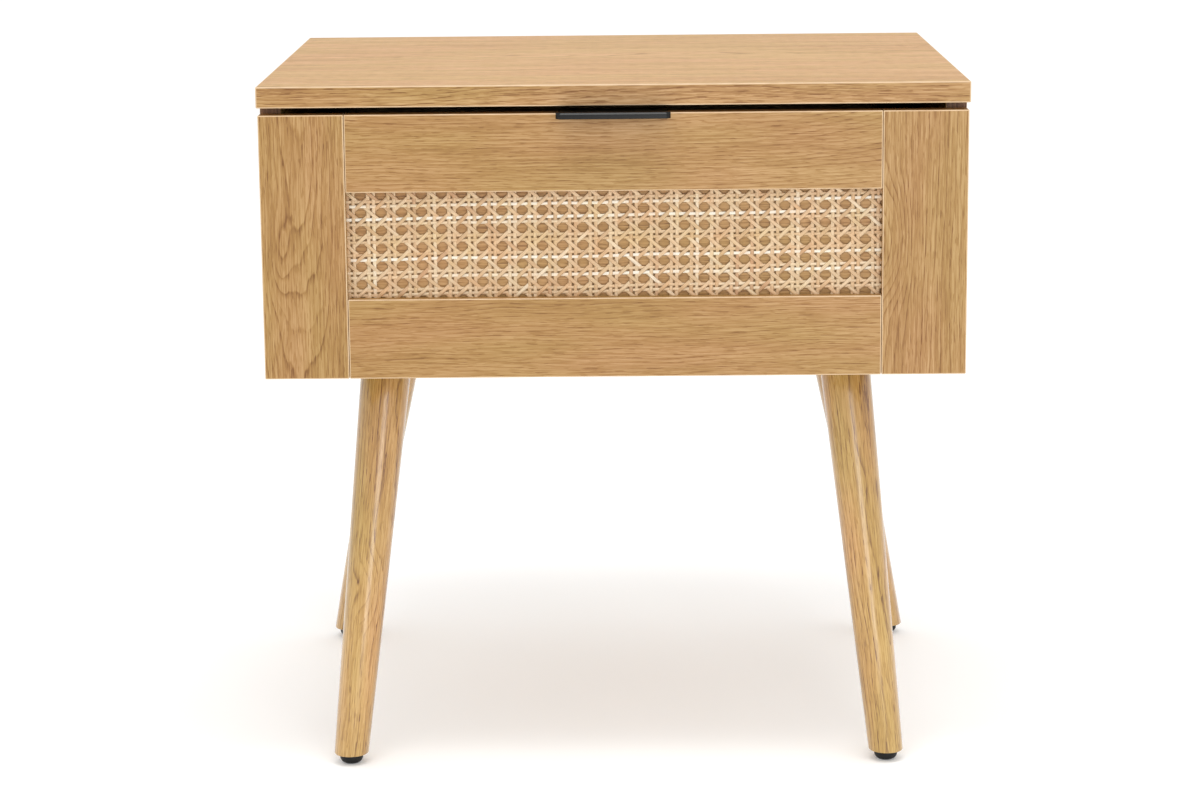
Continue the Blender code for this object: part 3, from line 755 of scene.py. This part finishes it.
@dataclass
class CaneSheet:
    """Open octagonal cane: paired upright and level strips, and single strips both ways across.

    A rising strip passes over the level pairs and under the upright pairs. A falling strip does
    the opposite, so each diagonal locks the other in place.
    """

    column: float = 14.26 * MM
    row: float = 12.65 * MM
    first_column: float = 2.9 * MM
    first_row: float = 3.2 * MM
    upright_width: float = 2.55 * MM
    upright_offset: float = 1.95 * MM
    level_width: float = 2.25 * MM
    level_offset: float = 1.72 * MM
    diagonal_width: float = 2.6 * MM
    thickness: float = 0.46 * MM
    lift: float = 0.62 * MM
    ripple: float = 0.20 * MM
    wander: float = 0.22 * MM
    tilt: float = 0.0117
    # How far a strip presses its neighbours, the back's bulge as a share of the face's, and the
    # rates, in waves a cell, at which a strip wanders and fades.
    press_width: float = 1.3 * MM
    back_share: float = 0.6
    wander_rate: float = 0.55
    fade_rate: float = 0.17
    fade: float = 0.35
    steps: int = 9
    around: int = 8
    seed: int = 41

    TONE = "strip_tone"
    # Waves a metre across and up, the noise's layer, and the reach, of the drift across and up.
    DRIFTS = ((11, 17, 3.1, 0.9 * MM), (15, 9, 8.7, 0.8 * MM))
    FADE_LAYER = 5.0
    SEED_RANGE = (0, 90)
    WIDTH_PLAY = (0.93, 1.07)
    # The nearly white level strips, by row and by place in the pair, and the range of the rest.
    BLEACHED = {(4, 1): 1.0, (2, 0): 1.0, (5, 0): 0.85, (1, 0): 0.9}
    LEVEL_TONES = (0.35, 0.75)
    # The other strips' tones lie mostly in the middle, and stop short of white.
    TONE_CURVE = (2.2, 2.4)
    PALEST = 0.85

    def __post_init__(self) -> None:
        """Work out the sheet's window from its node and its frame's opening."""
        low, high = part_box("cane_panel")
        self.low, self.high = low, high
        self.middle_y = (low.y + high.y) / 2
        opening_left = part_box("front_stile_left")[1].x
        opening_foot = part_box("front_rail_bottom")[1].z
        self.origin = Vector((opening_left + self.first_column, 0, opening_foot + self.first_row))
        self.dice = random.Random(self.seed)

    def drift(self, x: float, z: float) -> tuple[float, float]:
        """Shift the whole weave slowly, so that its rows and columns aren't ruled lines.

        Args:
            x: Place across the sheet.
            z: Height on the sheet.

        Returns:
            The shift across and the shift up.
        """
        across, up = (noise.noise(Vector((x * wide, z * high, layer))) * reach
                      for wide, high, layer, reach in self.DRIFTS)
        return across, up

    def depth(self, strip: Strip, a: float, b: float) -> float:
        """Work out how far a strip's middle stands forward of the sheet's middle.

        Args:
            strip: The strip.
            a: Place across, in columns.
            b: Place up, in rows.

        Returns:
            The forward distance.
        """
        if strip.course in (Course.RISING, Course.FALLING):
            swing = self.lift * math.cos(2 * math.pi * b)
            return swing if strip.course is Course.RISING else -swing
        upright = strip.course is Course.UPRIGHT
        along, step, offset = ((b, self.row, self.level_offset) if upright
                               else (a, self.column, self.upright_offset))
        past_line = (along - round(along)) * step
        total = sum(side * math.exp(-((past_line - side * offset) / self.press_width) ** 2)
                    for side in (-1, 1))
        return self.ripple * total * (1 if (strip.order == 1) == upright else -1)

    def tone_of(self, strip: Strip) -> float:
        """Draw a strip's shade, from 0 for pinkish straw to 1 for nearly white.

        Args:
            strip: The strip.

        Returns:
            Its shade.
        """
        if strip.course is Course.LEVEL:
            return self.BLEACHED.get((strip.start[1], strip.order),
                                     self.dice.uniform(*self.LEVEL_TONES))
        return self.dice.betavariate(*self.TONE_CURVE) * self.PALEST

    def lay_strip(self, shape: Shape, strip: Strip) -> None:
        """Lay one strip between two points of the weave's grid.

        Args:
            shape: The bmesh that takes the strip.
            strip: The strip.
        """
        layer = shape.verts.layers.float[self.TONE]
        tone = self.tone_of(strip)
        seed = self.dice.uniform(*self.SEED_RANGE)
        width = strip.width * self.dice.uniform(*self.WIDTH_PLAY)
        reach = (strip.end[0] - strip.start[0], strip.end[1] - strip.start[1])
        cells = max(abs(part) for part in reach)
        run = Vector((reach[0] * self.column, 0, reach[1] * self.row)).normalized()
        across = Vector((run.z, 0, -run.x))
        made = bmesh.ops.create_grid(shape, x_segments=round(cells * self.steps),
                                     y_segments=self.around, size=0.5, calc_uvs=True)["verts"]
        for vert in made:
            share = vert.co.x + 0.5
            angle = -2 * math.pi * (vert.co.y + 0.5)
            a = strip.start[0] + reach[0] * share
            b = strip.start[1] + reach[1] * share
            x = self.origin.x + a * self.column + strip.offset[0]
            z = self.origin.z + b * self.row + strip.offset[1] + self.tilt * (x - self.low.x)
            shift = self.drift(x, z)
            sideways = noise.noise(Vector((seed, share * cells * self.wander_rate, 0)))
            centre = (Vector((x + shift[0], self.middle_y, z + shift[1]))
                      + across * sideways * self.wander)
            side = math.cos(angle) * width / 2
            crown = math.sin(angle) * self.thickness / 2
            bulge = crown if crown > 0 else crown * self.back_share
            vert.co = centre + across * side - Vector((0, self.depth(strip, a, b) + bulge, 0))
            fade = noise.noise(Vector((seed, share * cells * self.fade_rate, self.FADE_LAYER)))
            vert[layer] = min(1.0, max(0.0, tone + self.fade * fade))

    def strips(self, course: Course) -> Iterable[Strip]:
        """List the strips of one course, each a little longer than the sheet.

        Args:
            course: The strips' direction.

        Yields:
            Each strip.
        """
        left, foot = (self.low - self.origin).xz
        right, head = (self.high - self.origin).xz
        lift = self.tilt * (right - left)
        left, right = left / self.column - 1, right / self.column + 1
        foot, head = (foot - lift) / self.row - 1, head / self.row + 1
        if course is Course.UPRIGHT:
            for index in range(math.ceil(left), math.floor(right) + 1):
                for order, side in enumerate((-1, 1)):
                    yield Strip(course, (index, foot), (index, head), self.upright_width,
                                (side * self.upright_offset, 0.0), order)
        elif course is Course.LEVEL:
            for index in range(math.ceil(foot), math.floor(head) + 1):
                for order, side in enumerate((-1, 1)):
                    yield Strip(course, (left, index), (right, index), self.level_width,
                                (0.0, side * self.level_offset), order)
        else:
            slope = 1 if course is Course.RISING else -1
            first = math.floor(left - max(slope * foot, slope * head))
            last = math.ceil(right - min(slope * foot, slope * head))
            for index in range(first, last):
                line = index + 0.5
                yield Strip(course, (line + slope * foot, foot), (line + slope * head, head),
                            self.diagonal_width)

    def trim(self, shape: Shape) -> None:
        """Cut the strips off at the sheet's four sides and close their ends.

        Args:
            shape: The strips.
        """
        for corner, outward in ((self.low, -1), (self.high, 1)):
            cut_off(shape, corner, (outward, 0, 0))
            cut_off(shape, corner, (0, 0, outward))
        rims = [edge for edge in shape.edges if edge.is_boundary]
        bmesh.ops.holes_fill(shape, edges=rims, sides=0)

    def build(self) -> list[Piece]:
        """Weave the four courses of strips.

        Returns:
            One piece for each course.
        """
        material = Cane().build("natural_cane_bark")
        pieces = []
        for course in Course:
            shape = bmesh.new()
            shape.verts.layers.float.new(self.TONE)
            shape.loops.layers.uv.new("UVMap")
            for strip in self.strips(course):
                self.lay_strip(shape, strip)
            bmesh.ops.remove_doubles(shape, verts=shape.verts[:], dist=WELD)
            self.trim(shape)
            for face in shape.faces:
                face.smooth = True
            name = f"cane_{course.value}_strips"
            stands_for = "cane_panel" if course is Course.UPRIGHT else ""
            pieces.append(make_piece(name, shape, "drawer", [material], stands_for))
        return pieces


# ---- Drawer ----

@dataclass
class EdgePull:
    """Black pull on the front's upper edge: a flat plate with a chamfered lip in front."""

    body: str
    lip: float = 3.0 * MM
    plate: float = 1.5 * MM
    shoulder: float = 2.0 * MM
    top_chamfer: float = 1.5 * MM
    end_chamfer: float = 2.7 * MM
    softness: float = 0.32 * MM
    largest_soft_face: float = 12 * MM * MM

    def build(self, black: Material) -> Piece:
        """Make the pull in its node's place.

        Args:
            black: Its coating.

        Returns:
            The pull.
        """
        low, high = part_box("edge_pull")
        inner = Vector((high.x, low.y + self.lip, high.z))
        shape = bmesh.new()
        add_box(shape, (low, inner))

        def along(*axes: tuple[int, float]) -> list[Edge]:
            """Edges that lie in all of the given planes."""
            return [edge for edge in shape.edges
                    if all(abs(vert.co[axis] - place) < LEVEL_WITH
                           for vert in edge.verts for axis, place in axes)]

        ends = along((0, low.x), (1, low.y)) + along((0, high.x), (1, low.y))
        ease(shape, ends, self.end_chamfer, 1)
        # The lip's top is chamfered along its front only; its ends and back stay square.
        rim = [edge for edge in along((2, high.z))
               if max(vert.co.y for vert in edge.verts) < inner.y - LEVEL_WITH
               or min(vert.co.y for vert in edge.verts) < low.y + LEVEL_WITH]
        ease(shape, rim, self.top_chamfer, 1)
        add_box(shape, (Vector((low.x + self.shoulder, inner.y - self.softness * 2,
                                high.z - self.plate)),
                        Vector((high.x - self.shoulder, high.y, high.z))))
        ease(shape, shape.edges[:], self.softness, 2)
        for face in shape.faces:
            face.smooth = face.calc_area() < self.largest_soft_face
        return make_piece("chamfered_edge_pull", shape, self.body, [black],
                          "edge_pull")


@dataclass
class DrawerFront:
    """Framed drawer front: stiles, rails, cane, the board behind it and the black pull."""

    body: str = "drawer"

    def build(self) -> list[Piece]:
        """Make the frame, cane, backing board and pull, and dress the pull's screws.

        Returns:
            The new pieces.
        """
        eye = Knot((-0.238, -0.192, 0.378), size=15 * MM, depth=4 * MM, slimness=0.3)
        swelling = Knot((0.191, -0.192, 0.386), size=30 * MM, depth=15 * MM, slimness=0.5)
        upright = {"left": Oak(grain=(0, 0, 1), heart=(0.95, -0.174, 0.222), taper=0.045,
                               ring_width=1.9 * MM, sway=10 * MM, contrast=1.05, knot=eye),
                   "right": Oak(grain=(0, 0, 1), heart=(0.60, -0.174, -0.180), taper=0.05,
                                ring_width=3.3 * MM, sway=8 * MM, knot=swelling)}
        level = {"top": Oak(heart=(-0.06, -0.170, 0.52), taper=0.18, contrast=0.92),
                 "bottom": Oak(heart=(0.10, -0.160, 0.245), taper=0.10, contrast=0.88)}
        boards = {f"front_stile_{side}": finish for side, finish in upright.items()}
        boards |= {f"front_rail_{place}": finish for place, finish in level.items()}
        # The frame's eased edges carry the pale line, partly a painted highlight.
        pieces = [Board(node, self.body, "oak_board", finish, radius=0.75 * MM,
                        pale_edges_and_highlights=True).build() for node, finish in boards.items()]
        backing = Oak(heart=(0.1, -0.16, 0.30), light="#B98F5B", middle="#A0763F", dark="#744C20")
        pieces.append(Board("front_backing_panel", self.body, "pale_board", backing,
                            radius=0.3 * MM).build())
        pieces.extend(CaneSheet().build())
        black = POWDER_COAT.build("satin_black_powder_coat")
        pieces.append(EdgePull(self.body).build(black))
        dress(["pull_screw_left", "pull_screw_right"], black)
        return pieces


@dataclass
class DrawerBox:
    """Drawer box of thin pale boards on a hardboard bottom."""

    body: str = "drawer"

    def build(self) -> list[Piece]:
        """Make the box's boards, and dress its bottom.

        Returns:
            The new pieces.
        """
        pale = Oak(light="#CDB48C", middle="#BC9F73", dark="#967649", contrast=0.7)
        finishes = {"drawer_box_front": replace(pale, heart=(0.6, 0.145, 0.35)),
                    "drawer_back": replace(pale, heart=(0.6, -0.145, 0.35))}
        for side, sign in SIDES:
            finishes["drawer_side_" + side] = replace(pale, grain=(0, 1, 0),
                                                      heart=(0.6 * sign, -0.24 * sign, 0.36))
        pieces = [Board(node, self.body, "pale_board", finish, radius=0.5 * MM).build()
                  for node, finish in finishes.items()]
        dress(["drawer_bottom"], HARDBOARD.build("drawer_bottom_hardboard"))
        return pieces


@dataclass
class Slides:
    """Telescopic drawer slides of bright zinc-plated sheet."""

    def build(self, zinc: Material) -> None:
        """Dress the slides' members.

        Args:
            zinc: The plating's material.
        """
        members = [f"slide_{part}_member_{side}" for part in ("cabinet", "middle", "drawer")
                   for side, _ in SIDES]
        dress(members, zinc)


# ---- Legs ----

@dataclass
class Leg:
    """Turned oak leg under gloss lacquer, with its glide, plate, bolt and screws."""

    corner: str
    body: str = "cabinet"
    top_radius: float = 18.5 * MM
    foot_radius: float = 12.5 * MM
    foot_ease: float = 0.8 * MM
    segments: int = 96
    glide_height: float = 7.0 * MM
    dome: float = 4.8 * MM
    pin_radius: float = 1.5 * MM
    glide_segments: int = 48

    # How far the trunk's heart may lie from the leg's middle, along the grain and both ways across.
    HEART_RANGES = ((-0.1, 0.1), (0.012, 0.03), (0.015, 0.035))
    KNOTS = {"front_left": Knot((-0.183, -0.161, 0.128), size=15 * MM, depth=9 * MM)}

    def build(self, zinc: Material, nylon: Material) -> list[Piece]:
        """Make the leg and its glide, and dress the pieces that go with them.

        Args:
            zinc: Material of the plate, bolt and screws.
            nylon: Material of the glide.

        Returns:
            The leg and its glide.
        """
        screws = [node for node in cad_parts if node.startswith("plate_screw_" + self.corner)]
        dress(["leg_plate_" + self.corner, "hanger_bolt_" + self.corner, *screws], zinc)
        return [self.turned(), self.glide(nylon)]

    def ends(self) -> tuple[Vector, Vector]:
        """Find the centres of the leg's level top and foot, from its bolt and its glide.

        Returns:
            The top's centre and the foot's centre.
        """
        low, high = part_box("leg_" + self.corner)
        centres = []
        for node, height in (("hanger_bolt_", high.z), ("glide_", low.z)):
            near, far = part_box(node + self.corner)
            centres.append(Vector(((near.x + far.x) / 2, (near.y + far.y) / 2, height)))
        return centres[0], centres[1]

    def finish(self, top: Vector, foot: Vector) -> Oak:
        """Choose the oak that the leg was turned from, with the grain along the leg.

        Args:
            top: The centre of its top.
            foot: The centre of its foot.

        Returns:
            The leg's oak.
        """
        grain = (top - foot).normalized()
        dice = random.Random(self.corner)
        centre = grain.rotation_difference(Vector((1, 0, 0))) @ ((top + foot) / 2)
        heart = centre + Vector([dice.uniform(*limits) for limits in self.HEART_RANGES])
        return Oak(grain=tuple(grain), heart=tuple(heart), light="#CCA269", middle="#B38747",
                   dark="#6E410F", coating=Coating.LACQUER, ring_width=3.4 * MM, taper=0.05,
                   sway=13 * MM, contrast=1.05, pore_start=0.565, warmth=("#F6FFE3", "#FFF8F1"),
                   knot=self.KNOTS.get(self.corner))

    def turned(self) -> Piece:
        """Turn the leg: a long taper with level ends that are a little eased.

        Returns:
            The leg.
        """
        top, foot = self.ends()
        axis = foot - top
        spare = self.top_radius
        widening = (self.top_radius - self.foot_radius) / axis.length * spare
        aim = axis.to_track_quat("-Z", "Y").to_matrix().to_4x4()
        shape = bmesh.new()
        bmesh.ops.create_cone(shape, cap_ends=True, segments=self.segments,
                              radius1=self.foot_radius - widening,
                              radius2=self.top_radius + widening, depth=axis.length + 2 * spare,
                              matrix=Matrix.Translation((top + foot) / 2) @ aim)
        for centre, outward in ((top, 1), (foot, -1)):
            rim = cut_off(shape, centre, (0, 0, outward))
            bmesh.ops.contextual_create(shape, geom=rim)
            ease(shape, rim, self.foot_ease, 3)
        smooth_walls(shape)
        oak = self.finish(top, foot).build("leg_oak_" + self.corner)
        return make_piece("turned_leg_" + self.corner, shape, self.body, [oak],
                          "leg_" + self.corner)

    def glide(self, nylon: Material) -> Piece:
        """Make the domed glide and the pin that holds it in the leg.

        Args:
            nylon: The glide's material.

        Returns:
            The glide.
        """
        low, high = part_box("glide_" + self.corner)
        radius = (high.x - low.x) / 2
        middle = Vector(((low.x + high.x) / 2, (low.y + high.y) / 2, 0.0))
        shape = bmesh.new()
        for wide, foot, head in ((radius, low.z, self.glide_height),
                                 (self.pin_radius, self.glide_height / 2, high.z)):
            up = Vector((0, 0, (foot + head) / 2))
            bmesh.ops.create_cone(shape, cap_ends=True, segments=self.glide_segments,
                                  radius1=wide, radius2=wide, depth=head - foot,
                                  matrix=Matrix.Translation(middle + up))
        rim = [edge for edge in shape.edges
               if all(abs(vert.co.z - low.z) < LEVEL_WITH for vert in edge.verts)]
        ease(shape, rim, self.dome, 8)
        smooth_walls(shape)
        return make_piece("domed_glide_" + self.corner, shape, self.body, [nylon],
                          "glide_" + self.corner)


# ---- Studio ----

@dataclass(frozen=True)
class Softbox:
    """Rectangular soft lamp that faces a target; its size is in metres and its power in watts."""

    name: str
    place: Place
    target: Place
    size: tuple[float, float]
    power: float

    def build(self) -> None:
        """Hang the lamp and aim it."""
        data = bpy.data.lights.new(self.name, "AREA")
        data.shape = "RECTANGLE"
        data.size, data.size_y = self.size
        data.energy = self.power
        lamp = bpy.data.objects.new(self.name, data)
        lamp.location = self.place
        aim = Vector(self.target) - Vector(self.place)
        lamp.rotation_euler = aim.to_track_quat("-Z", "Y").to_euler()
        bpy.context.scene.collection.objects.link(lamp)


@dataclass
class Studio:
    """Pale floor, soft light and the camera, whose angles are in degrees."""

    lens: float = 94.1
    camera_place: Place = (0.0037, -2.380, 0.7188)
    pitch: float = 11.51
    yaw: float = -0.386
    roll: float = -0.539
    floor_reach: float = 14.0

    def build(self) -> None:
        """Make the floor, the world light, the lamps and the camera."""
        self.floor()
        self.world()
        Softbox("overhead_softbox", place=(0.1, -0.52, 2.3), target=(0.0, -0.15, 0.3),
                size=(1.7, 0.45), power=14.0).build()
        Softbox("front_softbox", place=(0.45, -2.1, 0.50), target=(0.0, -0.2, 0.2),
                size=(0.75, 1.2), power=9.0).build()
        self.camera()
        scene = bpy.context.scene
        scene.view_settings.view_transform = "Standard"
        scene.view_settings.look = "None"

    def floor(self) -> None:
        """Lay a large plain floor that meets the glides."""
        shape = bmesh.new()
        bmesh.ops.create_grid(shape, x_segments=1, y_segments=1, size=self.floor_reach)
        floor = as_object("studio_floor", shape, [STUDIO_PAPER.build("matt_white_studio_floor")])

    def world(self) -> None:
        """Light the model evenly from all round."""
        world = bpy.data.worlds.new("white_studio")
        world.use_nodes = True
        background = world.node_tree.nodes["Background"]
        background.inputs["Color"].default_value = linear("#FFFFFF")
        background.inputs["Strength"].default_value = 1.0
        bpy.context.scene.world = world

    def camera(self) -> None:
        """Set the camera in front, a little over the top panel."""
        data = bpy.data.cameras.new("camera")
        data.lens = self.lens
        camera = bpy.data.objects.new("camera", data)
        camera.location = self.camera_place
        aim = Euler((math.radians(90 - self.pitch), 0, math.radians(-self.yaw)))
        roll = Matrix.Rotation(math.radians(self.roll), 4, "Z")
        camera.rotation_euler = (aim.to_matrix().to_4x4() @ roll).to_euler()
        bpy.context.scene.collection.objects.link(camera)
        bpy.context.scene.camera = camera


# ---- The whole nightstand ----


def main() -> None:
    """Build every sub-assembly in turn and report what was made."""
    logging.basicConfig(level=logging.INFO, format="%(name)s: %(message)s")
    zinc = ZINC_PLATE.build("bright_zinc_plate")
    nylon = BLACK_NYLON.build("moulded_black_nylon")
    made = [*Cabinet().build(), *DrawerFront().build(), *DrawerBox().build()]
    Slides().build(zinc)
    dress(["front_screw_left", "front_screw_right"], zinc)
    for row in ("front", "back"):
        for side, _ in SIDES:
            made.extend(Leg(f"{row}_{side}").build(zinc, nylon))
    for piece in made:
        log.info("%s: %d faces", piece.name, len(piece.data.polygons))
    Studio().build()


if __name__ == "__main__":
    main()
